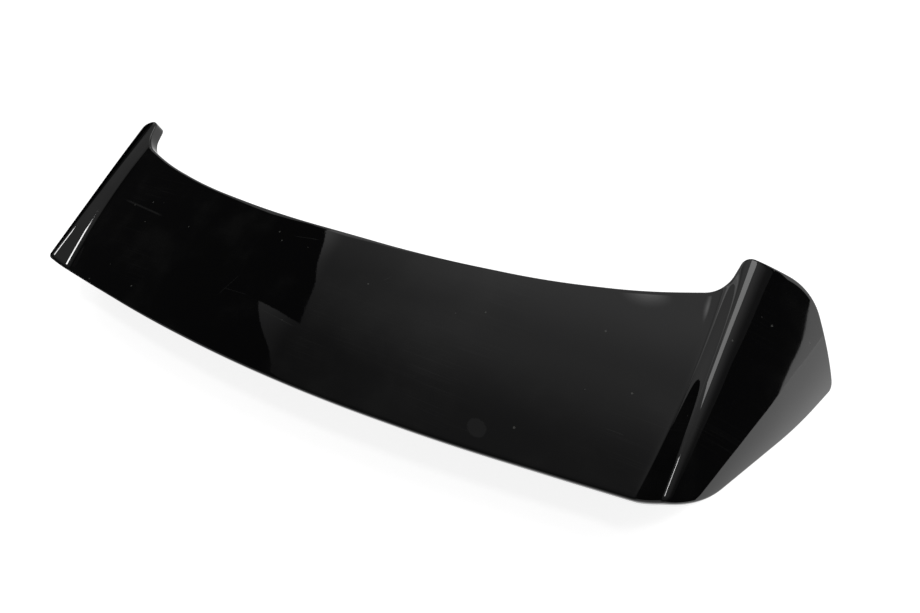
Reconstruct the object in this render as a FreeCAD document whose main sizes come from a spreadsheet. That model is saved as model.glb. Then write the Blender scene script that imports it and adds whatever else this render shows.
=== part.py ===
import FreeCAD
import Part
import math
import os

# Rear roof spoiler of a hatchback: a gloss painted upper shell with a raised ridge and a
# drop-down fin at each end, a closing lower shell bonded inside its skirt, four studs with
# foam rings that go through the tailgate, and a foam pad on the inside of each fin.
# X runs across the car, Y forward, Z up. The origin is midway between the inner studs, on
# the plane of the stud collars, where the tailgate's sheet seats.

SIZES = {
    # raised ridge: two straight crest lines that spread towards the front
    "ridge_rear_x": 431.0,
    "ridge_front_x": 450.5,
    "ridge_half_length": 133.0,
    "ridge_height": 29.0,
    "ridge_rear_rise": 3.0,
    "step_rear": 18.0,
    "step_middle": 11.0,
    "step_front": 12.0,
    "step_wall_slope": 1.0,
    "step_wall_slope_front": 0.45,
    "valley_blend_rear": 3.5,
    "valley_blend_front": 6.0,
    "crest_blend_rear": 2.0,
    "crest_blend_front": 4.0,
    # panel and side curvature
    "panel_crown": 16.0,
    "side_start_angle": 20.0,
    "side_radius": 194.0,
    "side_radius_growth": 0.98,
    "side_radius_least": 60.0,
    # plan outline of one half: corner points and their rounding
    "front_mid_x": 116.0,
    "front_mid_y": 33.8,
    "front_mid_round": 1600.0,
    "front_quarter_x": 260.2,
    "front_quarter_y": 47.0,
    "front_quarter_round": 950.0,
    "front_outer_x": 358.2,
    "front_outer_y": 67.3,
    "front_outer_round": 580.0,
    "horn_root_x": 435.1,
    "horn_root_y": 93.5,
    "horn_root_round": 35.4,
    "horn_tip_x": 444.3,
    "horn_tip_y": 136.4,
    "horn_tip_round": 10.8,
    "shoulder_x": 515.5,
    "shoulder_y": 136.0,
    "shoulder_round": 48.1,
    "fin_tip_x": 565.0,
    "fin_tip_y": 60.5,
    "fin_tip_round": 13.0,
    "fin_edge_x": 537.7,
    "fin_edge_y": 1.6,
    "fin_edge_round": 1430.0,
    "rear_corner_x": 456.6,
    "rear_corner_y": -132.8,
    "rear_corner_round": 87.3,
    "trail_outer_x": 352.0,
    "trail_outer_y": -144.2,
    "trail_outer_round": 2900.0,
    "trail_quarter_x": 220.5,
    "trail_quarter_y": -157.6,
    "trail_quarter_round": 2650.0,
    "trail_mid_x": 74.0,
    "trail_mid_y": -165.9,
    "trail_mid_round": 2480.0,
    # section of the hollow body
    "wall": 2.5,
    "edge_depth": 8.0,
    "depth_growth": 0.025,
    "inner_crest_blend": 10.0,
    "bond_gap": 0.2,
    # studs, bosses, seals and pads
    "inner_stud_x": 140.0,
    "outer_stud_x": 370.0,
    "outer_stud_y": 42.0,
    "stud_radius": 3.0,
    "stud_length": 22.0,
    "collar_radius": 4.5,
    "collar_length": 3.0,
    "flange_radius": 8.0,
    "flange_thick": 3.0,
    "flange_cover": 2.5,
    "fit_gap": 0.1,
    "boss_radius": 13.0,
    "seal_radius": 12.0,
    "seal_thick": 4.0,
    "pad_x": 528.0,
    "pad_y": 58.0,
    "pad_width": 22.0,
    "pad_length": 60.0,
    "pad_thick": 4.0,
    "block_depth": 260.0,
}

doc = FreeCAD.newDocument("roof_spoiler")
sheet = doc.addObject("Spreadsheet::Sheet", "sizes")
for row, (name, value) in enumerate(SIZES.items(), start=1):
    sheet.set(f"A{row}", name)
    sheet.set(f"B{row}", str(value))
    sheet.setAlias(f"B{row}", name)
doc.recompute()


def size(name):
    """Read one size from the sheet."""
    return float(sheet.get(name))


def higher(first, second, blend):
    """Greater of two heights, with the corner between them rounded."""
    return (first + second + math.sqrt((first - second) ** 2 + blend ** 2)) / 2


def lower(first, second, blend):
    """Lesser of two heights, with the corner between them rounded."""
    return (first + second - math.sqrt((first - second) ** 2 + blend ** 2)) / 2


def along(rear, middle, front, share):
    """Value on the parabola through a rear, a middle and a front value."""
    bend = rear + front - 2 * middle
    return rear + (front - rear) * share + 2 * bend * share * (share - 1)


def ridge_share(y):
    """Place along the ridge: 0 at its rear end and 1 at its front end."""
    half = size("ridge_half_length")
    return (y + half) / (2 * half)


def ridge_x(y):
    """Distance of the ridge line from the middle of the car."""
    spread = size("ridge_front_x") - size("ridge_rear_x")
    return size("ridge_rear_x") + spread * ridge_share(y)


def from_rear_to_front(name, y):
    """Size that changes evenly along the ridge, given at its rear and its front."""
    rear = size(name + "_rear")
    return rear + (size(name + "_front") - rear) * ridge_share(y)


# Roundings that only keep the formulas smooth, and how much of the side's arc is modelled

SIDE_RADIUS_BLEND = 6.0
REAR_EDGE_BLEND = 30.0
SIDE_ARC_SHARE = 0.60


def side_radius(y):
    """Radius of the side's arc, which tightens towards the rear."""
    straight = size("side_radius") + size("side_radius_growth") * y
    return higher(straight, size("side_radius_least"), SIDE_RADIUS_BLEND)


def side_reach(y):
    """Distance outside the ridge at which the modelled side ends."""
    return SIDE_ARC_SHARE * side_radius(y)


def skin_height(x, y, crest_blend):
    """Height of the painted skin at a place in plan."""
    reach = abs(x)
    crest = ridge_x(y)
    share = ridge_share(y)
    out = reach - crest
    step = along(size("step_rear"), size("step_middle"), size("step_front"), share)
    rise = size("ridge_rear_rise") * (1 - share)
    panel = size("panel_crown") * (1 - (reach / crest) ** 2) - step
    slope = along(size("step_wall_slope"), size("step_wall_slope"), size("step_wall_slope_front"),
                  min(max(share, 0.0), 1.0))
    inside = higher(panel, slope * out + rise, from_rear_to_front("valley_blend", y))
    angle = math.radians(size("side_start_angle"))
    if out <= 0:
        side = -out * math.tan(angle)
    else:
        radius = side_radius(y)
        sine = math.sin(angle) + out / radius
        side = -radius * (math.cos(angle) - math.sqrt(1 - sine * sine))
    return size("ridge_height") + lower(inside, side + rise, crest_blend)


def steepness(x, y, crest_blend):
    """Length of the skin's normal for a unit of height."""
    step = 0.05
    inward = -step if x > 0 else step
    across = (skin_height(x + inward, y, crest_blend) - skin_height(x, y, crest_blend)) / step
    chordwise = (skin_height(x, y + step, crest_blend) - skin_height(x, y, crest_blend)) / step
    return math.sqrt(1 + across ** 2 + chordwise ** 2)


def rear_edge_y(x):
    """Rear or lower edge of the plan outline at a distance from the middle."""
    corner_x = size("rear_corner_x")
    corner_y = size("rear_corner_y")
    bow = (corner_y - size("trail_mid_y")) * (x / corner_x) ** 2
    fin_run = (size("fin_tip_x") - corner_x) / (size("fin_tip_y") - corner_y)
    fin_edge = corner_y + (abs(x) - corner_x) / fin_run
    return higher(size("trail_mid_y") + bow, fin_edge, REAR_EDGE_BLEND)


def body_depth(x, y):
    """Thickness of the hollow body, least at the rear edge."""
    return size("edge_depth") + size("depth_growth") * (y - rear_edge_y(x))


def outer_skin(x, y):
    """Height of the painted outside."""
    return skin_height(x, y, from_rear_to_front("crest_blend", y))


def outer_skin_inside(x, y):
    """Height of the inside of the painted wall."""
    blend = from_rear_to_front("crest_blend", y)
    return skin_height(x, y, blend) - size("wall") * steepness(x, y, blend)


def under_skin(x, y):
    """Height of the underside of the hollow body."""
    blend = size("inner_crest_blend")
    return skin_height(x, y, blend) - body_depth(x, y) * steepness(x, y, blend)


def under_skin_inside(x, y):
    """Height of the inside of the lower wall."""
    blend = size("inner_crest_blend")
    depth = body_depth(x, y) - size("wall")
    return skin_height(x, y, blend) - depth * steepness(x, y, blend)


def pad_face(x, y):
    """Height of the free face of a fin pad."""
    blend = size("inner_crest_blend")
    depth = body_depth(x, y) + size("pad_thick")
    return skin_height(x, y, blend) - depth * steepness(x, y, blend)


PANEL_STATIONS = [0.0, 0.12, 0.25, 0.38, 0.5, 0.62, 0.74, 0.84, 0.92, 0.97]
RIDGE_STATIONS = [-24, -20, -17, -14.5, -12, -10, -8, -6, -4.5, -3, -2, -1, 0,
                  1, 2, 3, 4.5, 6.5, 9, 12, 16]
SIDE_STATIONS = [0.12, 0.25, 0.4, 0.55, 0.7, 0.85, 1.0]
CHORD_STATIONS = 17
CHORD_MARGIN = 14


def span_line(y):
    """Places across one half of the span, crowded at the ridge."""
    crest = ridge_x(y)
    panel_end = crest + RIDGE_STATIONS[0]
    side_start = RIDGE_STATIONS[-1]
    panel = [share * panel_end for share in PANEL_STATIONS]
    ridge = [crest + offset for offset in RIDGE_STATIONS]
    run = side_reach(y) - side_start
    side = [crest + side_start + share * run for share in SIDE_STATIONS]
    return panel + ridge + side


def skin_surface(height):
    """Smooth surface through the heights on a net that follows the ridges."""
    rear = size("trail_mid_y") - CHORD_MARGIN
    front = size("horn_tip_y") + CHORD_MARGIN
    net = []
    for index in range(CHORD_STATIONS):
        y = rear + (front - rear) * index / (CHORD_STATIONS - 1)
        half = span_line(y)
        line = [-x for x in reversed(half[1:])] + half
        net.append([FreeCAD.Vector(x, y, height(x, y)) for x in line])
    surface = Part.BSplineSurface()
    surface.interpolate(net)
    return surface.toShape()


ROUNDING_SHARE = 0.49


def rounded_wire(corners):
    """Closed wire of lines and arcs through corner points with their own rounding."""
    count = len(corners)
    spans = []
    for index in range(count):
        point, radius = corners[index]
        back = corners[index - 1][0] - point
        ahead = corners[(index + 1) % count][0] - point
        half = back.getAngle(ahead) / 2
        longest_run = ROUNDING_SHARE * min(back.Length, ahead.Length)
        run = min(radius / math.tan(half), longest_run)
        radius = run * math.tan(half)
        back.normalize()
        ahead.normalize()
        middle = (back + ahead).normalize()
        centre = point + middle * (radius / math.sin(half))
        spans.append((point + back * run, centre - middle * radius, point + ahead * run))
    edges = []
    for index in range(count):
        start, middle, end = spans[index]
        edges.append(Part.Arc(start, middle, end).toShape())
        following = spans[(index + 1) % count][0]
        edges.append(Part.makeLine(end, following))
    return Part.Wire(edges)


HALF_OUTLINE = ["front_mid", "front_quarter", "front_outer", "horn_root", "horn_tip", "shoulder",
                "fin_tip", "fin_edge", "rear_corner", "trail_outer", "trail_quarter", "trail_mid"]


def plan_outline():
    """Plan outline of the whole spoiler, both halves, below everything."""
    floor = -size("block_depth") / 2
    right = []
    left = []
    for name in HALF_OUTLINE:
        x = size(name + "_x")
        y = size(name + "_y")
        radius = size(name + "_round")
        right.append((FreeCAD.Vector(x, y, floor), radius))
        left.append((FreeCAD.Vector(-x, y, floor), radius))
    return rounded_wire(right + left[::-1])


def feature(label, shape):
    """Document object that holds a shape worked out from the sheet."""
    item = doc.addObject("Part::Feature", label)
    item.Shape = shape
    return item


def prism(wire):
    """Upright block over a plan outline."""
    return Part.Face(wire).extrude(FreeCAD.Vector(0, 0, size("block_depth")))


def below(height):
    """Block of everything under a skin."""
    return skin_surface(height).extrude(FreeCAD.Vector(0, 0, -size("block_depth")))


def boolean(kind, label, base, tool):
    """Boolean of two document objects."""
    item = doc.addObject("Part::" + kind, label)
    item.Base = base
    item.Tool = tool
    return item


def cylinder(label, radius, height, x, y, z):
    """Upright cylinder whose sizes and place are expressions of the sheet."""
    item = doc.addObject("Part::Cylinder", label)
    item.setExpression("Radius", radius)
    item.setExpression("Height", height)
    item.setExpression("Placement.Base.x", x)
    item.setExpression("Placement.Base.y", y)
    item.setExpression("Placement.Base.z", z)
    return item


def fused(label, pieces):
    """One object from several that touch or stand apart."""
    item = doc.addObject("Part::MultiFuse", label)
    item.Shapes = pieces
    return item


# Skins and plan blocks

outline = plan_outline()
skirt_block = prism(outline)
cavity_block = prism(outline.makeOffset2D(-size("wall")))
lid_block = prism(outline.makeOffset2D(-size("wall") - size("bond_gap")))
under_outer = below(outer_skin)
under_outer_inside = below(outer_skin_inside)
under_lower = below(under_skin)
under_lower_inside = below(under_skin_inside)

# Upper shell: the skin with a skirt all round that ends level with the underside

upper_body = skirt_block.common(under_outer).cut(under_lower)
upper_cavity = cavity_block.common(under_outer_inside)
upper_shell = feature("upper_shell", upper_body.cut(upper_cavity).Solids[0])

# Lower shell: a closing panel inside the skirt, with a boss at each stud

STUDS = [("inner_right", "sizes.inner_stud_x", "0"), ("inner_left", "-sizes.inner_stud_x", "0"),
         ("outer_right", "sizes.outer_stud_x", "sizes.outer_stud_y"),
         ("outer_left", "-sizes.outer_stud_x", "sizes.outer_stud_y")]



def at_studs(label, radius, height, z):
    """One upright cylinder at each stud."""
    return [cylinder(f"{label}_{name}", radius, height, x, y, z) for name, x, y in STUDS]


lid_skin = lid_block.common(under_lower_inside).cut(under_lower)
boss_columns = fused("boss_columns", at_studs(
    "boss", "sizes.boss_radius", "sizes.block_depth / 4", "sizes.collar_length"))
doc.recompute()
bosses = boss_columns.Shape.common(under_lower_inside)
lid_with_bosses = feature("lid_with_bosses", lid_skin.fuse(bosses).Solids[0])
collar_bores = at_studs(
    "collar_bore", "sizes.collar_radius + sizes.fit_gap", "sizes.block_depth / 8", "sizes.collar_length - 1")
flange_seats = at_studs(
    "flange_seat", "sizes.flange_radius + sizes.fit_gap", "sizes.block_depth / 4",
    "sizes.collar_length + sizes.flange_cover")
stud_room = fused("stud_room", collar_bores + flange_seats)
lower_shell = boolean("Cut", "lower_shell", lid_with_bosses, stud_room)
doc.recompute()

# Studs and their foam rings

shanks = at_studs(
    "shank", "sizes.stud_radius", "sizes.stud_length + sizes.collar_length / 2", "-sizes.stud_length")
collars = at_studs(
    "collar", "sizes.collar_radius", "sizes.collar_length + sizes.flange_cover + sizes.flange_thick / 2", "0")
flanges = at_studs(
    "flange", "sizes.flange_radius", "sizes.flange_thick", "sizes.collar_length + sizes.flange_cover")
mounting_studs = fused("mounting_studs", shanks + collars + flanges)
seal_discs = at_studs(
    "seal_disc", "sizes.seal_radius", "sizes.seal_thick", "sizes.collar_length - sizes.seal_thick")
seal_bores = at_studs(
    "seal_bore", "sizes.collar_radius + sizes.fit_gap", "sizes.seal_thick + 2",
    "sizes.collar_length - sizes.seal_thick - 1")
stud_seals = boolean("Cut", "stud_seals", fused("seal_discs", seal_discs), fused("seal_bores", seal_bores))

# Foam pads on the inside of the fins

pad_blocks = []
for side, name in ((1, "right"), (-1, "left")):
    block = doc.addObject("Part::Box", "pad_block_" + name)
    block.setExpression("Length", "sizes.pad_width")
    block.setExpression("Width", "sizes.pad_length")
    block.setExpression("Height", "sizes.block_depth")
    block.setExpression("Placement.Base.x", f"{side} * sizes.pad_x - sizes.pad_width / 2")
    block.setExpression("Placement.Base.y", "sizes.pad_y - sizes.pad_length / 2")
    block.setExpression("Placement.Base.z", "-sizes.block_depth / 2")
    pad_blocks.append(block)
pad_columns = fused("pad_columns", pad_blocks)
doc.recompute()
fin_pads = feature("fin_pads", pad_columns.Shape.common(under_lower).cut(below(pad_face)))
doc.recompute()

# Check and write each sub-part

for item in doc.Objects:
    if "Invalid" in item.State or "Error" in item.State:
        raise RuntimeError(f"{item.Label} did not compute: {item.State}")
os.makedirs("parts", exist_ok=True)
for item in (upper_shell, lower_shell, mounting_studs, stud_seals, fin_pads):
    shape = item.Shape
    if shape.isNull() or not shape.isValid():
        raise RuntimeError(f"{item.Label} has no valid shape")
    print(item.Label, len(shape.Solids), round(shape.Volume), shape.BoundBox)
    shape.exportStep(f"parts/{item.Label}.step")
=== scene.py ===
"""The look of a gloss black car spoiler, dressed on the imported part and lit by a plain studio."""

import logging
import math
from dataclasses import dataclass, field
from enum import Enum

import bmesh
import bpy
import numpy as np
from mathutils import Matrix, Vector


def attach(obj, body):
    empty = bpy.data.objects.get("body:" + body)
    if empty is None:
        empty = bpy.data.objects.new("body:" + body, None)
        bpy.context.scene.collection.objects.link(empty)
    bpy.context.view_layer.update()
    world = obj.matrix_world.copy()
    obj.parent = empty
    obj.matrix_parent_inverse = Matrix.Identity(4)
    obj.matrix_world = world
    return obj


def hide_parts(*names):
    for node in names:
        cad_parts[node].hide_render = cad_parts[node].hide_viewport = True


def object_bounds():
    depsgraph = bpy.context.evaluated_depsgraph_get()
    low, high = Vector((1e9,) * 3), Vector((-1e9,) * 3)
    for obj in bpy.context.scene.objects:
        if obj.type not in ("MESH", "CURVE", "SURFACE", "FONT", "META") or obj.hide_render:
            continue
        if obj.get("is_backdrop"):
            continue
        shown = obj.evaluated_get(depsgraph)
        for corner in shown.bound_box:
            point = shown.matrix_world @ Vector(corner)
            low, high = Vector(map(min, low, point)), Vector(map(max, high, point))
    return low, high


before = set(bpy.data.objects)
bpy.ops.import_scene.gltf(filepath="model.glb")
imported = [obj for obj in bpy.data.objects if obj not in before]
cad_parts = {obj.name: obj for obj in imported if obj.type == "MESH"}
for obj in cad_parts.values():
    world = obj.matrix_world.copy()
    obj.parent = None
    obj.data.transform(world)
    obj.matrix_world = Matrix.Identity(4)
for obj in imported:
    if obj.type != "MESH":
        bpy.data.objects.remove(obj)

LOG = logging.getLogger("spoiler")
MM = 0.001
BODY = "root"


# Node helpers


class Graph:
    """Adds nodes to one node tree and links them."""

    def __init__(self, tree: bpy.types.NodeTree) -> None:
        """Keeps the tree and empties it."""
        self.tree = tree
        tree.nodes.clear()

    def node(self, kind: str, **settings: object) -> bpy.types.Node:
        """Adds one node.

        Args:
            kind: The node's type name.
            settings: Attributes of the node, by name.

        Returns:
            The new node.
        """
        made = self.tree.nodes.new(kind)
        for name, value in settings.items():
            setattr(made, name, value)
        return made

    def feed(self, socket: bpy.types.NodeSocket, value: object) -> None:
        """Gives an input its value.

        Args:
            socket: The input socket.
            value: An output socket to link, or a plain value to set.
        """
        if isinstance(value, bpy.types.NodeSocket):
            self.tree.links.new(value, socket)
        else:
            socket.default_value = value

    def math(self, operation: str, first: object, second: object = 0.0) -> bpy.types.NodeSocket:
        """Adds a Math node.

        Args:
            operation: The node's operation.
            first: Its first value or socket.
            second: Its second value or socket.

        Returns:
            The output socket.
        """
        made = self.node("ShaderNodeMath", operation=operation)
        self.feed(made.inputs[0], first)
        self.feed(made.inputs[1], second)
        return made.outputs[0]

    def ramp(
        self, value: object, start: object, end: object, low: float, high: float
    ) -> bpy.types.NodeSocket:
        """Maps a range smoothly onto another one.

        Args:
            value: The value or socket to map.
            start: The value or socket where the result is low.
            end: The value or socket where the result is high.
            low: The result at start and before it.
            high: The result at end and after it.

        Returns:
            The output socket.
        """
        made = self.node("ShaderNodeMapRange", interpolation_type="SMOOTHSTEP")
        names = ("Value", "From Min", "From Max", "To Min", "To Max")
        for name, given in zip(names, (value, start, end, low, high)):
            self.feed(made.inputs[name], given)
        return made.outputs[0]

    def vector(
        self, operation: str, first: object, second: object, result: str = "Vector"
    ) -> bpy.types.NodeSocket:
        """Adds a Vector Math node.

        Args:
            operation: The node's operation.
            first: Its first vector or socket.
            second: Its second vector or socket.
            result: The name of the output to use.

        Returns:
            The output socket.
        """
        made = self.node("ShaderNodeVectorMath", operation=operation)
        self.feed(made.inputs[0], first)
        self.feed(made.inputs[1], second)
        return made.outputs[result]

    def length(self, first: object, second: object) -> bpy.types.NodeSocket:
        """The length of the diagonal over two lengths at a right angle."""
        squares = [self.math("POWER", side, 2.0) for side in (first, second)]
        return self.math("SQRT", self.math("ADD", *squares))

    def axes(self, vector: object) -> tuple[bpy.types.NodeSocket, ...]:
        """The three parts of a vector along the axes."""
        made = self.node("ShaderNodeSeparateXYZ")
        self.feed(made.inputs[0], vector)
        return tuple(made.outputs)

    def ray_kinds(self) -> tuple[bpy.types.NodeSocket, bpy.types.NodeSocket]:
        """Tells the kinds of ray apart.

        Returns:
            A socket that is 1 for rays from the camera, and one that is 1 for mirrored rays.
        """
        rays = self.node("ShaderNodeLightPath").outputs
        mirrored = self.math("MAXIMUM", rays["Is Glossy Ray"], rays["Is Transmission Ray"])
        return rays["Is Camera Ray"], mirrored

    def steps(self, value: object, stops: tuple[tuple[float, float], ...]) -> bpy.types.NodeSocket:
        """Maps a value through several stops, smoothly from each to the next.

        Args:
            value: The value or socket to map.
            stops: Pairs of a value and its result, in rising order.

        Returns:
            The output socket.
        """
        total = stops[0][1]
        for (start, before), (end, after) in zip(stops, stops[1:]):
            total = self.math("ADD", total, self.ramp(value, start, end, 0.0, after - before))
        return total

    def noise(self, vector: object, scale: float, detail: float = 2.0) -> bpy.types.NodeSocket:
        """Adds a noise texture.

        Args:
            vector: The coordinates.
            scale: Waves per metre.
            detail: Octaves of finer noise.

        Returns:
            The value socket.
        """
        made = self.node("ShaderNodeTexNoise")
        self.feed(made.inputs["Vector"], vector)
        made.inputs["Scale"].default_value = scale
        made.inputs["Detail"].default_value = detail
        return made.outputs[0]

    def blend(self, share: object, first: object, second: object) -> bpy.types.NodeSocket:
        """Mixes two colours.

        Args:
            share: How much of the second colour shows.
            first: The first colour or socket.
            second: The second colour or socket.

        Returns:
            The colour socket.
        """
        made = self.node("ShaderNodeMix", data_type="RGBA")
        self.feed(made.inputs[0], share)
        self.feed(made.inputs[6], first)
        self.feed(made.inputs[7], second)
        return made.outputs[2]

    def grey(self, value: bpy.types.NodeSocket) -> bpy.types.NodeSocket:
        """Turns a value into a grey colour of that brightness."""
        made = self.node("ShaderNodeCombineColor")
        for channel in made.inputs[:3]:
            self.feed(channel, value)
        return made.outputs[0]


class Channel(Enum):
    """The kinds of value that an effect can take in or give out."""

    VALUE = "NodeSocketFloat"
    VECTOR = "NodeSocketVector"


class Effects:
    """The surface effects that several finishes share, each a shader node group.

    Scales are in waves per metre, ranges in values of the noise.
    """

    WAVE_SCALE = 11.0
    PEEL_SCALE = 420.0
    PEEL_SHARE = 0.006
    WIPE_TURNS = (0.35, 1.25, 2.45)
    WIPE_STRETCH = (9.0, 900.0, 9.0)
    WIPE_RANGE = (0.70, 0.80)
    PATCH_SCALE = 7.0
    PATCH_RANGE = (0.5, 0.72)
    SPECK_SIZE = 0.13
    SMEAR_SCALE = 16.0
    SMEAR_RANGE = (0.45, 0.75)
    SCRATCH_FADE = (0.3, 0.5)

    def __init__(self) -> None:
        """Builds every group once."""
        self.ripple = self._ripple()
        self.hairlines = self._hairlines()
        self.specks = self._specks()
        self.smears = self._smears()
        self.grain = self._grain()
        self.mark = self._mark()

    @staticmethod
    def _group(
        name: str, given: dict[str, Channel], result: str
    ) -> tuple[Graph, dict[str, bpy.types.NodeSocket], bpy.types.NodeSocket]:
        """Starts a group with named inputs and one value output.

        Args:
            name: The group's name.
            given: The inputs by name.
            result: The output's name.

        Returns:
            The group's graph, its input sockets by name and the socket that takes the result.
        """
        tree = bpy.data.node_groups.new(name, "ShaderNodeTree")
        for label, channel in given.items():
            tree.interface.new_socket(label, in_out="INPUT", socket_type=channel.value)
        tree.interface.new_socket(result, in_out="OUTPUT", socket_type=Channel.VALUE.value)
        graph = Graph(tree)
        entry = graph.node("NodeGroupInput")
        leave = graph.node("NodeGroupOutput")
        return graph, {label: entry.outputs[label] for label in given}, leave.inputs[result]

    def _ripple(self) -> bpy.types.NodeTree:
        """The height of a sprayed film: long waves under a fine peel."""
        graph, given, result = self._group("film_ripple", {"Place": Channel.VECTOR}, "Height")
        waves = graph.noise(given["Place"], self.WAVE_SCALE, 1.0)
        peel = graph.noise(given["Place"], self.PEEL_SCALE, 1.0)
        graph.feed(result, graph.math("ADD", waves, graph.math("MULTIPLY", peel, self.PEEL_SHARE)))
        return graph.tree

    def _hairlines(self) -> bpy.types.NodeTree:
        """A mask of fine wiping scratches that run in three directions and come in patches."""
        graph, given, result = self._group("hairline_scratches", {"Place": Channel.VECTOR}, "Mask")
        total = 0.0
        for turn in self.WIPE_TURNS:
            lay = graph.node("ShaderNodeMapping")
            graph.feed(lay.inputs["Vector"], given["Place"])
            lay.inputs["Rotation"].default_value = (0.0, 0.0, turn)
            lay.inputs["Scale"].default_value = self.WIPE_STRETCH
            streak = graph.ramp(graph.noise(lay.outputs[0], 1.0, 0.0), *self.WIPE_RANGE, 0.0, 1.0)
            total = graph.math("MAXIMUM", total, streak)
        cloud = graph.noise(given["Place"], self.PATCH_SCALE, 2.0)
        patch = graph.ramp(cloud, *self.PATCH_RANGE, 0.0, 1.0)
        graph.feed(result, graph.math("MULTIPLY", total, patch))
        return graph.tree

    def _specks(self) -> bpy.types.NodeTree:
        """A mask of scattered dust specks of uneven size."""
        given = {"Place": Channel.VECTOR, "Spread": Channel.VALUE, "Share": Channel.VALUE}
        graph, given, result = self._group("dust_specks", given, "Mask")
        cells = graph.node("ShaderNodeTexVoronoi")
        graph.feed(cells.inputs["Vector"], given["Place"])
        graph.feed(cells.inputs["Scale"], given["Spread"])
        pick = graph.node("ShaderNodeSeparateColor")
        graph.feed(pick.inputs[0], cells.outputs["Color"])
        size = graph.math("MULTIPLY", pick.outputs[1], self.SPECK_SIZE)
        near = graph.math("LESS_THAN", cells.outputs["Distance"], size)
        chosen = graph.math("LESS_THAN", pick.outputs[0], given["Share"])
        graph.feed(result, graph.math("MULTIPLY", near, chosen))
        return graph.tree

    def _smears(self) -> bpy.types.NodeTree:
        """A value for the dull, cloudy film that handling leaves."""
        graph, given, result = self._group("handling_smears", {"Place": Channel.VECTOR}, "Value")
        cloud = graph.noise(given["Place"], self.SMEAR_SCALE, 4.0)
        graph.feed(result, graph.ramp(cloud, *self.SMEAR_RANGE, 0.0, 1.0))
        return graph.tree

    def _grain(self) -> bpy.types.NodeTree:
        """The height of an eroded mould texture."""
        given = {"Place": Channel.VECTOR, "Pitch": Channel.VALUE}
        graph, given, result = self._group("mould_grain", given, "Height")
        cells = graph.node("ShaderNodeTexVoronoi", feature="SMOOTH_F1")
        graph.feed(cells.inputs["Vector"], given["Place"])
        graph.feed(cells.inputs["Scale"], given["Pitch"])
        graph.feed(result, cells.outputs["Distance"])
        return graph.tree

    def _mark(self) -> bpy.types.NodeTree:
        """A mask of one straight scratch, fading towards its ends."""
        given = {name: Channel.VECTOR for name in ("Place", "Start", "End")}
        given["Width"] = Channel.VALUE
        graph, given, result = self._group("single_scratch", given, "Mask")
        flat = graph.vector("MULTIPLY", given["Place"], (1.0, 1.0, 0.0))
        span = graph.vector("SUBTRACT", given["End"], given["Start"])
        away = graph.vector("SUBTRACT", flat, given["Start"])
        off = graph.vector("DISTANCE", away, graph.vector("PROJECT", away, span), "Value")
        reach = graph.vector("DOT_PRODUCT", away, span, "Value")
        whole = graph.vector("DOT_PRODUCT", span, span, "Value")
        along = graph.math("DIVIDE", reach, whole)
        middle = graph.math("ABSOLUTE", graph.math("SUBTRACT", along, 0.5))
        ends = graph.ramp(middle, *self.SCRATCH_FADE, 1.0, 0.0)
        thin = graph.ramp(off, 0.0, given["Width"], 1.0, 0.0)
        graph.feed(result, graph.math("MULTIPLY", thin, ends))
        return graph.tree


class Surface:
    """One material in the making: its graph, its shader and its coordinates."""

    def __init__(self, name: str) -> None:
        """Starts a material of that name with a Principled shader."""
        self.material = bpy.data.materials.new(name)
        self.material.use_nodes = True
        self.graph = Graph(self.material.node_tree)
        self.shader = self.graph.node("ShaderNodeBsdfPrincipled")
        output = self.graph.node("ShaderNodeOutputMaterial")
        self.graph.feed(output.inputs["Surface"], self.shader.outputs[0])
        self.place = self.graph.node("ShaderNodeTexCoord").outputs["Object"]

    def effect(self, group: bpy.types.NodeTree, **values: object) -> bpy.types.NodeSocket:
        """Adds a shared effect.

        Args:
            group: The effect's node group.
            values: Values or sockets for its inputs besides Place.

        Returns:
            The effect's output socket.
        """
        made = self.graph.node("ShaderNodeGroup", node_tree=group)
        self.graph.feed(made.inputs["Place"], self.place)
        for name, value in values.items():
            self.graph.feed(made.inputs[name], value)
        return made.outputs[0]

    def feed(self, name: str, value: object) -> None:
        """Gives one of the shader's inputs its value or socket."""
        self.graph.feed(self.shader.inputs[name], value)

    def glow(self, tone: object, strength: float = 1.0) -> None:
        """Makes the surface shine by itself and reflect nothing.

        Args:
            tone: The colour or socket of its light.
            strength: The brightness of a white tone.
        """
        self.feed("Base Color", (0.0, 0.0, 0.0, 1.0))
        self.feed("Specular IOR Level", 0.0)
        self.feed("Emission Color", tone)
        self.feed("Emission Strength", strength)

    def bump(self, height: bpy.types.NodeSocket, distance: float) -> None:
        """Raises the surface by a height.

        Args:
            height: The height socket.
            distance: The height of one unit, in metres.
        """
        made = self.graph.node("ShaderNodeBump")
        made.inputs["Strength"].default_value = 1.0
        made.inputs["Distance"].default_value = distance
        self.graph.feed(made.inputs["Height"], height)
        self.feed("Normal", made.outputs[0])


# Finishes


@dataclass(frozen=True)
class Scratch:
    """One scratch that can be seen: its ends in plan and its width, in millimetres."""

    start: tuple[float, float]
    end: tuple[float, float]
    width: float


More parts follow.
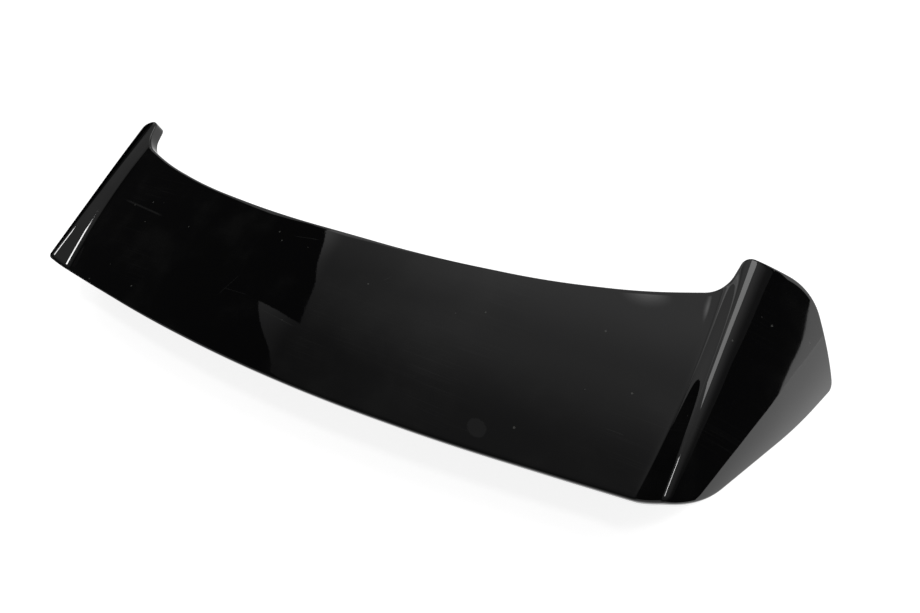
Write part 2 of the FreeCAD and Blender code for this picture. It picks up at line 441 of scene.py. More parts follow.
@dataclass(frozen=True)
class GlossPaint:
    """Black gloss paint, handled and a little scratched."""

    colour: tuple[float, float, float, float] = (0.0025, 0.0025, 0.0028, 1.0)
    dust: tuple[float, float, float, float] = (0.09, 0.09, 0.085, 1.0)
    haze: tuple[float, float, float, float] = (0.007, 0.007, 0.007, 1.0)
    scuff: tuple[float, float, float, float] = (0.022, 0.022, 0.022, 1.0)
    roughness: float = 0.02
    dull: float = 0.10
    index: float = 1.5
    ripple: float = 0.0005
    speck_spread: float = 95.0
    speck_share: float = 0.14
    hairline_share: float = 0.3
    smear_roughness: float = 0.035
    scratches: tuple[Scratch, ...] = (
        Scratch((-128.0, -99.0), (-113.0, -63.0), 0.5),
        Scratch((-128.0, -87.0), (-84.0, -85.0), 0.4),
        Scratch((-71.0, 8.0), (-30.0, 13.0), 0.5),
        Scratch((-398.0, -8.0), (-297.0, -18.0), 2.2),
        Scratch((-59.0, -96.0), (3.0, -102.0), 0.6),
        Scratch((79.0, -14.0), (87.0, -5.0), 0.6),
        Scratch((366.0, -85.0), (386.0, -85.0), 0.4),
    )

    def material(self, effects: Effects) -> bpy.types.Material:
        """Makes the material.

        Args:
            effects: The shared surface effects.

        Returns:
            The material.
        """
        surface = Surface("gloss_black_paint")
        graph = surface.graph
        hair = surface.effect(effects.hairlines)
        specks = surface.effect(effects.specks, Spread=self.speck_spread, Share=self.speck_share)
        smears = surface.effect(effects.smears)
        marks = 0.0
        for scratch in self.scratches:
            ends = {"Start": (*scratch.start, 0.0), "End": (*scratch.end, 0.0)}
            ends = {name: tuple(v * MM for v in point) for name, point in ends.items()}
            mark = surface.effect(effects.mark, Width=scratch.width * MM, **ends)
            marks = graph.math("MAXIMUM", marks, mark)
        worn = graph.math("MAXIMUM", graph.math("MULTIPLY", hair, self.hairline_share), marks)
        hazed = graph.blend(smears, self.colour, self.haze)
        scuffed = graph.blend(worn, hazed, self.scuff)
        surface.feed("Base Color", graph.blend(specks, scuffed, self.dust))
        film = graph.math("ADD", graph.math("MULTIPLY", smears, self.smear_roughness), self.roughness)
        dulled = graph.math("MULTIPLY", graph.math("MAXIMUM", worn, specks), self.dull)
        surface.feed("Roughness", graph.math("ADD", film, dulled))
        surface.feed("IOR", self.index)
        surface.bump(surface.effect(effects.ripple), self.ripple)
        return surface.material


@dataclass(frozen=True)
class Moulding:
    """Black moulded plastic with an eroded texture."""

    colour: tuple[float, float, float, float] = (0.016, 0.016, 0.017, 1.0)
    dust: tuple[float, float, float, float] = (0.06, 0.058, 0.055, 1.0)
    dust_share: float = 0.35
    roughness: float = 0.46
    smear_roughness: float = 0.15
    pitch: float = 900.0
    grain_height: float = 0.00012

    def material(self, effects: Effects) -> bpy.types.Material:
        """Makes the material from the shared effects and returns it."""
        surface = Surface("black_moulding")
        graph = surface.graph
        smears = surface.effect(effects.smears)
        dusty = graph.math("MULTIPLY", smears, self.dust_share)
        surface.feed("Base Color", graph.blend(dusty, self.colour, self.dust))
        dull = self.roughness + self.smear_roughness
        surface.feed("Roughness", graph.ramp(smears, 0.0, 1.0, self.roughness, dull))
        surface.bump(surface.effect(effects.grain, Pitch=self.pitch), self.grain_height)
        return surface.material


@dataclass(frozen=True)
class PlatedSteel:
    """Zinc plated steel, a little stained."""

    colour: tuple[float, float, float, float] = (0.55, 0.54, 0.50, 1.0)
    stain: tuple[float, float, float, float] = (0.36, 0.34, 0.29, 1.0)
    roughness: float = 0.32
    smear_roughness: float = 0.2
    pitch: float = 1600.0
    grain_height: float = 0.00004

    def material(self, effects: Effects) -> bpy.types.Material:
        """Makes the material from the shared effects and returns it."""
        surface = Surface("plated_steel")
        graph = surface.graph
        smears = surface.effect(effects.smears)
        surface.feed("Base Color", graph.blend(smears, self.colour, self.stain))
        surface.feed("Metallic", 1.0)
        dull = self.roughness + self.smear_roughness
        surface.feed("Roughness", graph.ramp(smears, 0.0, 1.0, self.roughness, dull))
        surface.bump(surface.effect(effects.grain, Pitch=self.pitch), self.grain_height)
        return surface.material


@dataclass(frozen=True)
class SealingFoam:
    """Dark closed-cell foam."""

    colour: tuple[float, float, float, float] = (0.022, 0.022, 0.023, 1.0)
    pale: tuple[float, float, float, float] = (0.05, 0.05, 0.05, 1.0)
    roughness: float = 0.92
    pitch: float = 1400.0
    cell_height: float = 0.0004

    def material(self, effects: Effects) -> bpy.types.Material:
        """Makes the material from the shared effects and returns it."""
        surface = Surface("sealing_foam")
        graph = surface.graph
        cells = surface.effect(effects.grain, Pitch=self.pitch)
        surface.feed("Base Color", graph.blend(cells, self.colour, self.pale))
        surface.feed("Roughness", self.roughness)
        surface.bump(cells, self.cell_height)
        return surface.material


# The form of the skin


def higher(first: np.ndarray, second: np.ndarray, blend: float) -> np.ndarray:
    """The greater of two values, rounded off over a blend."""
    return (first + second + np.sqrt((first - second) ** 2 + blend * blend)) / 2


def lower(first: np.ndarray, second: np.ndarray, blend: float) -> np.ndarray:
    """The lesser of two values, rounded off over a blend."""
    return (first + second - np.sqrt((first - second) ** 2 + blend * blend)) / 2


@dataclass(frozen=True)
class Trend:
    """A value given at the rear, the middle and the front of the ridges."""

    rear: float
    middle: float
    front: float

    def at(self, share: np.ndarray) -> np.ndarray:
        """The value at a share of the way from rear to front, on a parabola."""
        bend = 2 * (self.rear + self.front - 2 * self.middle)
        return self.rear + (self.front - self.rear) * share + bend * share * (share - 1)


@dataclass(frozen=True)
class SkinForm:
    """The formula of the outer skin, in millimetres: a crowned panel, two ridges, two falling sides."""

    ridge_rear_x: float = 431.0
    ridge_front_x: float = 450.5
    ridge_half_length: float = 133.0
    ridge_height: float = 29.0
    ridge_rear_rise: float = 3.0
    step: Trend = Trend(18.0, 11.0, 12.0)
    wall_slope: Trend = Trend(1.0, 1.0, 0.45)
    valley_rear: float = 3.5
    valley_front: float = 6.0
    crest_rear: float = 2.0
    crest_front: float = 4.0
    panel_crown: float = 16.0
    side_start: float = math.radians(20.0)
    side_radius: float = 194.0
    side_growth: float = 0.98
    side_least: float = 60.0
    side_blend: float = 6.0
    steepest: float = 0.9999

    def share(self, y: np.ndarray) -> np.ndarray:
        """How far along the ridges a place is, from 0 at the rear to 1 at the front."""
        return (y + self.ridge_half_length) / (2 * self.ridge_half_length)

    def ridge_x(self, y: np.ndarray) -> np.ndarray:
        """Half the distance between the ridge crests."""
        return self.ridge_rear_x + (self.ridge_front_x - self.ridge_rear_x) * self.share(y)

    def height(self, x: np.ndarray, y: np.ndarray) -> np.ndarray:
        """The height of the skin.

        Args:
            x: Places across the car.
            y: Places along the car.

        Returns:
            The heights.
        """
        half = np.abs(x)
        crest = self.ridge_x(y)
        share = self.share(y)
        beyond = half - crest
        rise = self.ridge_rear_rise * (1 - share)
        panel = self.panel_crown * (1 - (half / crest) ** 2) - self.step.at(share)
        wall = self.wall_slope.at(np.clip(share, 0, 1)) * beyond + rise
        inside = higher(panel, wall, self.valley_rear + (self.valley_front - self.valley_rear) * share)
        radius = higher(self.side_radius + self.side_growth * y, self.side_least, self.side_blend)
        turn = np.clip(math.sin(self.side_start) + np.maximum(beyond, 0) / radius, -1, self.steepest)
        round_side = -radius * (math.cos(self.side_start) - np.sqrt(1 - turn * turn))
        side = np.where(beyond <= 0, -beyond * math.tan(self.side_start), round_side)
        crest_blend = self.crest_rear + (self.crest_front - self.crest_rear) * share
        return self.ridge_height + lower(inside, side + rise, crest_blend)

    def slope(self, x: np.ndarray, y: np.ndarray) -> tuple[np.ndarray, np.ndarray]:
        """The rise of the skin per millimetre across and along the car."""
        tick = 0.05
        across = (self.height(x + tick, y) - self.height(x - tick, y)) / (2 * tick)
        return across, (self.height(x, y + tick) - self.height(x, y - tick)) / (2 * tick)


@dataclass(frozen=True)
class Corner:
    """One corner of the plan outline and the radius that rounds it, in millimetres."""

    x: float
    y: float
    rounding: float


@dataclass(frozen=True)
class PlanOutline:
    """The right half of the outline from above, from the front middle round to the trailing middle."""

    corners: tuple[Corner, ...] = (
        Corner(116.0, 33.8, 1600.0),
        Corner(260.2, 47.0, 950.0),
        Corner(358.2, 67.3, 580.0),
        Corner(435.1, 93.5, 35.4),
        Corner(444.3, 136.4, 10.8),
        Corner(515.5, 136.0, 48.1),
        Corner(565.0, 60.5, 13.0),
        Corner(537.7, 1.6, 1430.0),
        Corner(456.6, -132.8, 87.3),
        Corner(352.0, -144.2, 2900.0),
        Corner(220.5, -157.6, 2650.0),
        Corner(74.0, -165.9, 2480.0),
    )
    run_share: float = 0.49
    arc_points: int = 60

    @property
    def fin_tip(self) -> Corner:
        """The corner at the lower end of the fin."""
        return self.corners[6]

    @property
    def rear_corner(self) -> Corner:
        """The corner between the fin and the trailing edge."""
        return self.corners[8]

    @property
    def trail_middle(self) -> Corner:
        """The corner of the trailing edge next to the middle."""
        return self.corners[11]

    def half_path(self) -> np.ndarray:
        """The half outline as a fine run of points.

        Returns:
            Points in plan, one a row.
        """
        spots = [complex(corner.x, corner.y) for corner in self.corners]
        first, last = self.corners[0], self.corners[-1]
        ring = [complex(-first.x, first.y), *spots, complex(-last.x, last.y)]
        path = [complex(0.0, first.y)]
        for before, spot, after, corner in zip(ring, ring[1:], ring[2:], self.corners):
            path.extend(self._round(before, spot, after, corner.rounding))
        path.append(complex(0.0, last.y))
        return np.array([(point.real, point.imag) for point in path])

    def _round(self, before: complex, spot: complex, after: complex, radius: float) -> list[complex]:
        """Points on the arc that rounds one corner.

        Args:
            before: The corner before it.
            spot: The corner.
            after: The corner after it.
            radius: The radius asked for.

        Returns:
            The arc's points in order.
        """
        back, ahead = before - spot, after - spot
        reach = self.run_share * min(abs(back), abs(ahead))
        back, ahead = back / abs(back), ahead / abs(ahead)
        half = math.acos((back * ahead.conjugate()).real) / 2
        run = min(radius / math.tan(half), reach)
        middle = spot + (back + ahead) / abs(back + ahead) * run / math.cos(half)
        first = spot + back * run - middle
        sweep = math.copysign(math.pi - 2 * half, (back.conjugate() * ahead).imag * -1)
        turns = np.linspace(0, sweep, self.arc_points)
        return [middle + first * complex(math.cos(turn), math.sin(turn)) for turn in turns]


# The pieces


def new_object(name: str, mesh: bpy.types.Mesh) -> bpy.types.Object:
    """Puts a mesh in the scene as an object of that name."""
    made = bpy.data.objects.new(name, mesh)
    bpy.context.scene.collection.objects.link(made)
    return made


def paint(target: bpy.types.Object, material: bpy.types.Material) -> None:
    """Gives an object one material in place of what it had."""
    target.data.materials.clear()
    target.data.materials.append(material)


@dataclass
class UpperShell:
    """The painted outer skin with its rounded rim, open below."""

    form: SkinForm = field(default_factory=SkinForm)
    outline: PlanOutline = field(default_factory=PlanOutline)
    rim_radius: float = 3.2
    rim_steps: int = 6
    foot_bevel: float = 0.7
    wall: float = 2.5
    edge_depth: float = 8.0
    depth_growth: float = 0.025
    under_blend: float = 10.0
    panel_columns: int = 44
    ridge_columns: int = 66
    side_columns: int = 52
    rows: int = 72
    ridge_inner: float = 30.0
    ridge_outer: float = 16.0
    panel_span: float = 400.0
    rear_blend: float = 30.0
    weld: float = 0.01
    sharp_angle: float = 40.0

    def build(self) -> bpy.types.Object:
        """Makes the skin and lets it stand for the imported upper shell.

        Returns:
            The new object.
        """
        front, rear = self._ends()
        top = self._net(self._rim_start(front), self._rim_start(rear))
        rings = self._rings(front, rear)
        inner = self._net(self._inset(front), self._inset(rear))
        inner_height = self.form.height(inner[..., 0], inner[..., 1]) - self.wall * self._steep(inner)
        top = np.dstack([top, self.form.height(top[..., 0], top[..., 1])])
        inner = np.dstack([inner, inner_height])
        mesh = self._mesh(top, rings, inner)
        made = new_object("painted_skin", mesh)
        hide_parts("upper_shell")
        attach(made, BODY)
        LOG.info("painted_skin: %d faces", len(mesh.polygons))
        return made

    def dress(self, made: bpy.types.Object, material: bpy.types.Material) -> None:
        """Paints the skin."""
        paint(made, material)

    def _lateral(self, points: np.ndarray) -> np.ndarray:
        """The lateral place of plan points: distance from the ridge, squeezed evenly across the panel."""
        crest = self.form.ridge_x(points[:, 1])
        beyond = points[:, 0] - crest
        across = points[:, 0] / (crest - self.ridge_inner)
        return np.where(across < 1, -self.ridge_inner - self.panel_span * (1 - across), beyond)

    def _ends(self) -> tuple[np.ndarray, np.ndarray]:
        """The front and rear end of every column on the outline.

        Returns:
            Rows of x, y and the outward normal for the front ends and for the rear ends, left to right.
        """
        path = self.outline.half_path()
        heading = np.gradient(path, axis=0)
        heading /= np.linalg.norm(heading, axis=1)[:, None]
        data = np.column_stack([path, -heading[:, 1], heading[:, 0]])
        place = self._lateral(path)
        tip = int(np.argmax(place))
        stations = self._stations(place[tip])
        branches = (slice(0, tip + 1), slice(len(path) - 1, tip - 1 if tip else None, -1))
        ends = []
        for branch in branches:
            column = [np.interp(stations, place[branch], data[branch, k]) for k in range(4)]
            right = np.column_stack(column)
            right[:, 2:] /= np.linalg.norm(right[:, 2:], axis=1)[:, None]
            right[0, 2] = 0.0
            left = right[:0:-1] * np.array([-1, 1, -1, 1])
            ends.append(np.vstack([left, right]))
        return ends[0], ends[1]

    def _stations(self, last: float) -> np.ndarray:
        """Lateral places of the right half's columns, close together over the ridge and at the fin tip.

        Args:
            last: The lateral place of the fin tip.

        Returns:
            The places in order.
        """
        inward = np.linspace(1, 0, self.panel_columns, endpoint=False)
        panel = -self.ridge_inner - self.panel_span * inward
        ridge = np.linspace(-self.ridge_inner, self.ridge_outer, self.ridge_columns, endpoint=False)
        ease = np.sin(np.linspace(0, math.pi / 2, self.side_columns))
        return np.concatenate([panel, ridge, self.ridge_outer + (last - self.ridge_outer) * ease])

    def _fall(self, ends: np.ndarray) -> np.ndarray:
        """The angle by which the skin falls away outwards at the outline."""
        across, along = self.form.slope(ends[:, 0], ends[:, 1])
        return -np.arctan(across * ends[:, 2] + along * ends[:, 3])

    def _rim_start(self, ends: np.ndarray) -> np.ndarray:
        """Plan points where the rounding of the rim begins."""
        inset = self.rim_radius * (1 - np.sin(self._fall(ends)))
        return ends[:, :2] - ends[:, 2:] * inset[:, None]

    def _inset(self, ends: np.ndarray) -> np.ndarray:
        """Plan points one wall thickness inside the outline."""
        return ends[:, :2] - ends[:, 2:] * self.wall

    def _net(self, front: np.ndarray, rear: np.ndarray) -> np.ndarray:
        """A net of plan points between the rear and front ends of the columns."""
        share = np.linspace(0, 1, self.rows)[None, :, None]
        return rear[:, None, :] + (front - rear)[:, None, :] * share

    def _steep(self, net: np.ndarray) -> np.ndarray:
        """How much longer a vertical cut through the skin is than its thickness."""
        across, along = self.form.slope(net[..., 0], net[..., 1])
        return np.sqrt(1 + across**2 + along**2)

    def _rear_edge(self, x: np.ndarray) -> np.ndarray:
        """The place along the car of the rear edge, in one smooth formula."""
        plan = self.outline
        corner, middle, tip = plan.rear_corner, plan.trail_middle, plan.fin_tip
        half = np.abs(x)
        trail = middle.y + (corner.y - middle.y) * (half / corner.x) ** 2
        fin = corner.y + (half - corner.x) * (tip.y - corner.y) / (tip.x - corner.x)
        return higher(trail, fin, self.rear_blend)

    def _foot(self, points: np.ndarray) -> np.ndarray:
        """The height of the lower edge of the skin."""
        soft = SkinForm(crest_rear=self.under_blend, crest_front=self.under_blend)
        x, y = points[:, 0], points[:, 1]
        across, along = soft.slope(x, y)
        depth = self.edge_depth + self.depth_growth * (y - self._rear_edge(x))
        return soft.height(x, y) - depth * np.sqrt(1 + across**2 + along**2)

    def _rings(self, front: np.ndarray, rear: np.ndarray) -> list[np.ndarray]:
        """The closed rings of points from the rim's rounding down to the inner edge of the foot.

        Args:
            front: The front ends of the columns.
            rear: The rear ends of the columns.

        Returns:
            One array of points for each ring, from the top down, round by the front and back by the rear.
        """
        ends = np.vstack([front, rear[::-1]])
        fall = self._fall(ends)
        start = self._rim_start(ends)
        height = self.form.height(start[:, 0], start[:, 1])
        rings = []
        for share in np.linspace(0, 1, self.rim_steps + 1)[1:]:
            angle = fall + (math.pi / 2 - fall) * share
            out = self.rim_radius * (np.sin(angle) - np.sin(fall))
            drop = self.rim_radius * (np.cos(fall) - np.cos(angle))
            rings.append(np.column_stack([start + ends[:, 2:] * out[:, None], height - drop]))
        foot = self._foot(ends[:, :2])
        rings.append(np.column_stack([ends[:, :2], foot + self.foot_bevel]))
        rings.append(np.column_stack([ends[:, :2] - ends[:, 2:] * self.foot_bevel, foot]))
        rings.append(np.column_stack([self._inset(ends), foot]))
        return rings

    def _mesh(self, top: np.ndarray, rings: list[np.ndarray], inner: np.ndarray) -> bpy.types.Mesh:
        """Joins the outer net, the rings and the inner net into one closed mesh.

        Args:
            top: The outer net's points.
            rings: The rings' points.
            inner: The inner net's points.

        Returns:
            The mesh, in metres.
        """
        columns, rows = top.shape[:2]
        net = np.arange(columns * rows).reshape(columns, rows)
        points = [top.reshape(-1, 3), *rings, inner.reshape(-1, 3)]
        first = columns * rows
        loops = [np.concatenate([net[:, -1], net[::-1, 0]])]
        for ring in rings:
            loops.append(first + np.arange(len(ring)))
            first += len(ring)
        under = first + net
        loops.append(np.concatenate([under[:, -1], under[::-1, 0]]))
        faces = self._cells(net) + [face[::-1] for face in self._cells(under)]
        for outer, inside in zip(loops, loops[1:]):
            after = np.roll(outer, -1), np.roll(inside, -1)
            faces += np.column_stack([outer, after[0], after[1], inside]).tolist()
        mesh = bpy.data.meshes.new("painted_skin")
        mesh.from_pydata((np.vstack(points) * MM).tolist(), [], faces)
        shape = bmesh.new()
        shape.from_mesh(mesh)
        bmesh.ops.remove_doubles(shape, verts=shape.verts, dist=self.weld * MM)
        bmesh.ops.recalc_face_normals(shape, faces=shape.faces)
        shape.to_mesh(mesh)
        shape.free()
        mesh.shade_smooth()
        mesh.set_sharp_from_angle(angle=math.radians(self.sharp_angle))
        return mesh

    @staticmethod
    def _cells(net: np.ndarray) -> list[list[int]]:
        """The four-cornered faces of a net of point numbers."""
        around = (net[:-1, :-1], net[1:, :-1], net[1:, 1:], net[:-1, 1:])
        return np.stack([side.ravel() for side in around], axis=1).tolist()


@dataclass
class Underside:
    """The parts below the skin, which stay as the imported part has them."""

    finishes: dict[str, str] = field(
        default_factory=lambda: {
            "lower_shell": "black_moulding",
            "mounting_studs": "plated_steel",
            "stud_seals": "sealing_foam",
            "fin_pads": "sealing_foam",
        }
    )

    def dress(self, materials: dict[str, bpy.types.Material]) -> None:
        """Gives each part its finish.

        Args:
            materials: The materials by slot.
        """
        for node, slot in self.finishes.items():
            paint(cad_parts[node], materials[slot])
            LOG.info("%s: %s", node, slot)


# The studio


def flat_sheet(name: str, spots: list[tuple[float, ...]]) -> bpy.types.Object:
    """Puts one flat face with those corners in the scene."""
    mesh = bpy.data.meshes.new(name)
    mesh.from_pydata(spots, [], [tuple(range(len(spots)))])
    return new_object(name, mesh)


@dataclass
class Floor:
    """A large pale floor that reads as white and keeps a soft shadow."""

    half_width: float = 9.0
    clearance: float = 0.0004
    glow: float = 0.85
    mirrored_glow: float = 1.0
    sheet_slant: float = 0.6
    sheet_end: float = -0.58
    sheet_fade: float = 0.02
    cloud_scale: float = 3.0
    cloud_range: tuple[float, float] = (0.3, 0.7)
    tones: tuple[float, float] = (0.78, 0.80)
    roughness: float = 0.9

    def build(self, lowest: float) -> bpy.types.Object:
        """Lays the floor below the object.

        Args:
            lowest: The height of the object's lowest point.

        Returns:
            The floor.
        """
        level = lowest - self.clearance
        half = self.half_width
        spots = [(-half, -half, level), (half, -half, level), (half, half, level), (-half, half, level)]
        made = flat_sheet("floor", spots)
        made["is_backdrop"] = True
        LOG.info("floor at %.4f m", level)
        return made

    def dress(self, made: bpy.types.Object) -> None:
        """Makes the floor pale, white where it is seen or mirrored, and dark in mirrors at the far left."""
        surface = Surface("pale_floor")
        graph = surface.graph
        x, y, _ = graph.axes(surface.place)
        slant = graph.math("ADD", x, graph.math("MULTIPLY", y, self.sheet_slant))
        edge = (self.sheet_end - self.sheet_fade, self.sheet_end + self.sheet_fade)
        sheet = graph.ramp(slant, *edge, 0.0, 1.0)
        camera, mirrored = graph.ray_kinds()
        hidden = graph.math("MULTIPLY", mirrored, graph.math("SUBTRACT", 1.0, sheet))
        cloud = graph.noise(surface.place, self.cloud_scale, 3.0)
        tone = graph.ramp(cloud, *self.cloud_range, *self.tones)
        shown = graph.math("MULTIPLY", tone, graph.math("SUBTRACT", 1.0, hidden))
        surface.feed("Base Color", graph.grey(shown))
        surface.feed("Roughness", self.roughness)
        surface.feed("Specular IOR Level", 0.0)
        white = graph.math("MULTIPLY", graph.math("MULTIPLY", mirrored, sheet), self.mirrored_glow)
        seen = graph.math("MAXIMUM", graph.math("MULTIPLY", camera, self.glow), white)
        surface.feed("Emission Color", graph.grey(seen))
        surface.feed("Emission Strength", 1.0)
        paint(made, surface.material)


class LampShape(Enum):
    """The outlines that a lamp can have."""

    DISC = "ELLIPSE"
    STRIP = "RECTANGLE"

    @property
    def fill(self) -> float:
        """The share of its bounding rectangle that the shape fills."""
        return 1.0 if self is LampShape.STRIP else math.pi / 4


def area_light(
    name: str, shape: LampShape, width: float, length: float, radiance: float
) -> bpy.types.Object:
    """Puts one evenly bright lamp in the scene.

    Args:
        name: The lamp's name.
        shape: Its outline.
        width: Its width in metres.
        length: Its length in metres.
        radiance: Its brightness, 1 for white.

    Returns:
        The lamp.
    """
    data = bpy.data.lights.new(name, "AREA")
    data.shape = shape.value
    data.size = width
    data.size_y = length
    data.energy = radiance * math.pi * width * length * shape.fill
    made = bpy.data.objects.new(name, data)
    bpy.context.scene.collection.objects.link(made)
    LOG.info("%s: %.1f W", name, data.energy)
    return made


@dataclass(frozen=True)
class Lamp:
    """One lamp, given by the direction and angle at which the object sees it."""

    name: str
    azimuth: float
    elevation: float
    width: float
    height: float
    radiance: float
    shape: LampShape
    distance: float = 6.0

    def place(self) -> bpy.types.Object:
        """Hangs the lamp facing the object.

        Returns:
            The lamp.
        """
        turn, lift = math.radians(self.azimuth), math.radians(self.elevation)
        out = Vector((math.cos(turn) * math.cos(lift), math.sin(turn) * math.cos(lift), math.sin(lift)))
        width, length = (self.distance * math.radians(angle) for angle in (self.width, self.height))
        made = area_light(self.name, self.shape, width, length, self.radiance)
        made.rotation_euler = out.to_track_quat("Z", "Y").to_euler()
        made.location = out * self.distance
        return made


@dataclass(frozen=True)
class CeilingLamp:
    """One lamp that hangs level below the overhead card, placed and sized in shares of its height."""

    name: str
    across: float
    along: float
    width: float
    length: float
    radiance: float
    shape: LampShape
    height: float = 5.9

    def place(self) -> bpy.types.Object:
        """Hangs the lamp facing down.

        Returns:
            The lamp.
        """
        width, length = self.width * self.height, self.length * self.height
        made = area_light(self.name, self.shape, width, length, self.radiance)
        made.location = (self.across * self.height, self.along * self.height, self.height)
        return made


@dataclass
class OverheadCard:
    """A wide grey card above the object, placed in shares of its height, with one soft bright spot."""

    height: float = 6.0
    right: float = 1.5
    left_edge: tuple[tuple[float, float], ...] = (
        (-1.11, 1.50),
        (-0.84, 0.46),
        (-0.76, 0.25),
        (-0.735, 0.09),
        (-0.91, 0.115),
        (-0.82, 0.00),
        (-0.765, -0.07),
        (-0.38, -1.30),
    )
    tones_along: tuple[tuple[float, float], ...] = (
        (-0.30, 0.08),
        (0.0, 0.17),
        (0.28, 0.44),
        (0.52, 0.70),
    )
    shares_across: tuple[tuple[float, float], ...] = (
        (-0.86, 1.20),
        (-0.74, 0.55),
        (-0.25, 1.00),
        (0.50, 1.00),
        (1.00, 0.75),
        (1.40, 0.15),
    )
    spot: tuple[float, float] = (0.11, 0.565)
    spot_radius: float = 0.065
    spot_glow: float = 1.5

    def build(self) -> bpy.types.Object:
        """Hangs the card.

        Returns:
            The card.
        """
        ends = (self.left_edge[-1][1], self.left_edge[0][1])
        edge = [(self.right, along) for along in ends] + list(self.left_edge)
        corners = [(self.height * across, self.height * along, self.height) for across, along in edge]
        made = flat_sheet("overhead_card", corners)
        made.visible_camera = False
        made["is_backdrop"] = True
        LOG.info("overhead_card at %.1f m", self.height)
        return made

    def dress(self, made: bpy.types.Object) -> None:
        """Lights the card, in tones that change across it."""
        surface = Surface("card_glow")
        graph = surface.graph
        level = graph.axes(surface.place)[:2]
        across, along = (graph.math("DIVIDE", axis, self.height) for axis in level)
        tone = graph.steps(along, self.tones_along)
        glow = graph.math("MULTIPLY", tone, graph.steps(across, self.shares_across))
        aside = graph.math("SUBTRACT", across, self.spot[0])
        ahead = graph.math("SUBTRACT", along, self.spot[1])
        bright = graph.ramp(graph.length(aside, ahead), 0.0, self.spot_radius, self.spot_glow, 0.0)
        surface.glow(graph.grey(graph.math("ADD", glow, bright)))
        paint(made, surface.material)


@dataclass
class Sweep:
    """A white sheet that stands at the front right, given by its corners' azimuths and elevations."""

    distance: float = 6.0
    edge: tuple[tuple[float, float], ...] = (
        (12.0, -2.0),
        (17.0, 2.5),
        (21.0, 6.0),
        (27.0, 12.0),
        (32.0, 21.0),
        (48.0, 21.0),
        (60.0, -2.0),
    )
    glow: float = 1.2

    def build(self) -> bpy.types.Object:
        """Stands the sheet up.

        Returns:
            The sheet.
        """
        spots = []
        for azimuth, elevation in self.edge:
            turn, lift = math.radians(azimuth), math.radians(elevation)
            out = (math.cos(turn), math.sin(turn), math.tan(lift))
            spots.append(tuple(self.distance * part for part in out))
        made = flat_sheet("sweep", spots)
        made.visible_camera = False
        made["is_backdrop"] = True
        LOG.info("sweep at %.1f m", self.distance)
        return made

    def dress(self, made: bpy.types.Object) -> None:
        """Makes the sheet evenly white."""
        surface = Surface("sweep_glow")
        surface.glow((1.0, 1.0, 1.0, 1.0), self.glow)
        paint(made, surface.material)


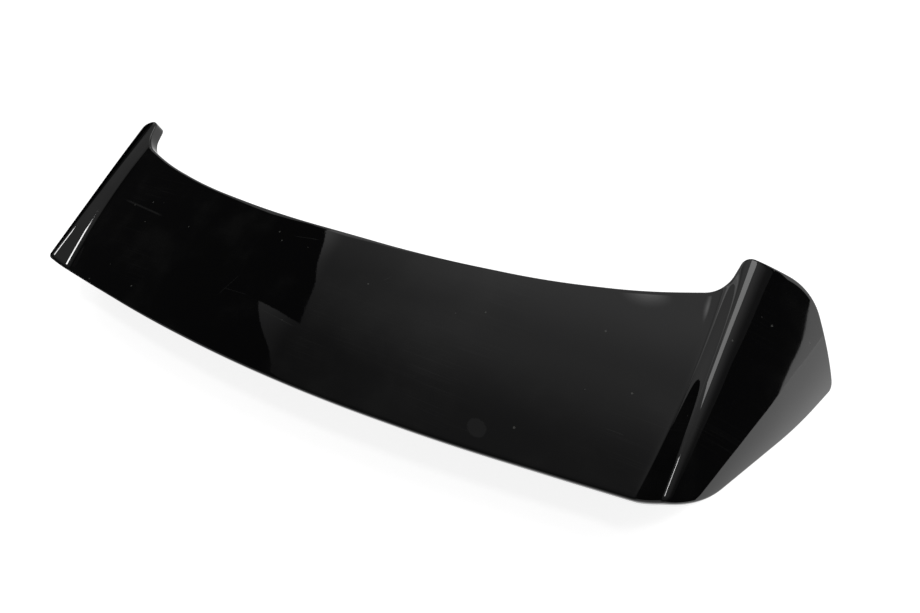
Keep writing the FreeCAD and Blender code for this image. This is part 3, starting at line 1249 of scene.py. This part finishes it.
@dataclass
class Studio:
    """The lights and the surroundings."""

    lamps: tuple[Lamp | CeilingLamp, ...] = (
        CeilingLamp("window_lamp", 0.62, 0.75, 0.62, 0.66, 3.0, LampShape.STRIP),
        CeilingLamp("key_lamp", 0.33, 0.21, 0.12, 0.10, 26.0, LampShape.STRIP),
        CeilingLamp("small_lamp", -0.139, -0.02, 0.052, 0.052, 0.11, LampShape.DISC),
        Lamp("front_left_card", 137.0, 22.0, 31.0, 40.0, 0.6, LampShape.STRIP),
        Lamp("upper_left_card", 136.0, 44.0, 16.0, 10.0, 0.5, LampShape.STRIP),
    )
    dark: float = 0.02
    wall_glow: float = 0.75
    wall_foot: float = 0.02
    wall_top: float = 0.80
    rear_wall: tuple[float, float] = (-0.62, -0.36)
    front_wall: tuple[float, float] = (0.88, 0.97)

    def build(self) -> None:
        """Hangs the cards and the lamps and sets the surroundings."""
        for card in (OverheadCard(), Sweep()):
            card.dress(card.build())
        for lamp in self.lamps:
            lamp.place()
        self._surroundings()

    def _surroundings(self) -> None:
        """Makes the surroundings white, and in mirrored light dark between two pale walls."""
        world = bpy.data.worlds.new("surroundings")
        world.use_nodes = True
        graph = Graph(world.node_tree)
        camera, mirrored = graph.ray_kinds()
        x, y, z = graph.axes(graph.node("ShaderNodeTexCoord").outputs["Generated"])
        ahead = graph.math("DIVIDE", y, graph.length(x, y))
        rear = graph.ramp(ahead, *self.rear_wall, 1.0, 0.0)
        front = graph.ramp(ahead, *self.front_wall, 0.0, 1.0)
        fade = graph.ramp(z, self.wall_foot, self.wall_top, self.wall_glow, self.dark)
        wall = graph.math("MULTIPLY", graph.math("MAXIMUM", rear, front), fade)
        shown = graph.math("MAXIMUM", camera, graph.math("MULTIPLY", mirrored, wall))
        sky = graph.node("ShaderNodeBackground")
        graph.feed(sky.inputs["Color"], graph.grey(graph.math("MAXIMUM", shown, self.dark)))
        output = graph.node("ShaderNodeOutputWorld")
        graph.feed(output.inputs["Surface"], sky.outputs[0])
        bpy.context.scene.world = world


@dataclass
class Viewpoint:
    """The camera, placed as the photograph was taken."""

    location: tuple[float, float, float] = (0.39714, -0.22183, 0.55123)
    azimuth: float = 46.29
    elevation: float = 60.08
    roll: float = -24.71
    lens: float = 21.127
    sensor: float = 36.0

    def build(self) -> bpy.types.Object:
        """Places the camera and makes it the scene's own.

        Returns:
            The camera.
        """
        turn, lift, roll = (math.radians(v) for v in (self.azimuth, self.elevation, self.roll))
        back = Vector((math.sin(turn) * math.cos(lift), -math.cos(turn) * math.cos(lift), math.sin(lift)))
        level = Vector((math.cos(turn), math.sin(turn), 0.0))
        over = back.cross(level)
        right = math.cos(roll) * level + math.sin(roll) * over
        up = math.cos(roll) * over - math.sin(roll) * level
        data = bpy.data.cameras.new("viewpoint")
        data.lens = self.lens
        data.sensor_width = self.sensor
        data.clip_start = 0.01
        made = bpy.data.objects.new("viewpoint", data)
        bpy.context.scene.collection.objects.link(made)
        axes = Matrix((right, up, back)).transposed().to_4x4()
        made.matrix_world = Matrix.Translation(self.location) @ axes
        bpy.context.scene.camera = made
        LOG.info("viewpoint: lens %.2f mm", self.lens)
        return made


def main() -> None:
    """Builds the pieces, the studio and the camera in order."""
    logging.basicConfig(level=logging.INFO, format="%(name)s: %(message)s")
    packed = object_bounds()
    effects = Effects()
    materials = {
        "gloss_black_paint": GlossPaint().material(effects),
        "black_moulding": Moulding().material(effects),
        "plated_steel": PlatedSteel().material(effects),
        "sealing_foam": SealingFoam().material(effects),
    }
    skin = UpperShell()
    skin.dress(skin.build(), materials["gloss_black_paint"])
    Underside().dress(materials)
    floor = Floor()
    floor.dress(floor.build(packed[0].z))
    Studio().build()
    Viewpoint().build()
    bpy.context.scene.view_settings.view_transform = "Standard"


if __name__ == "__main__":
    main()
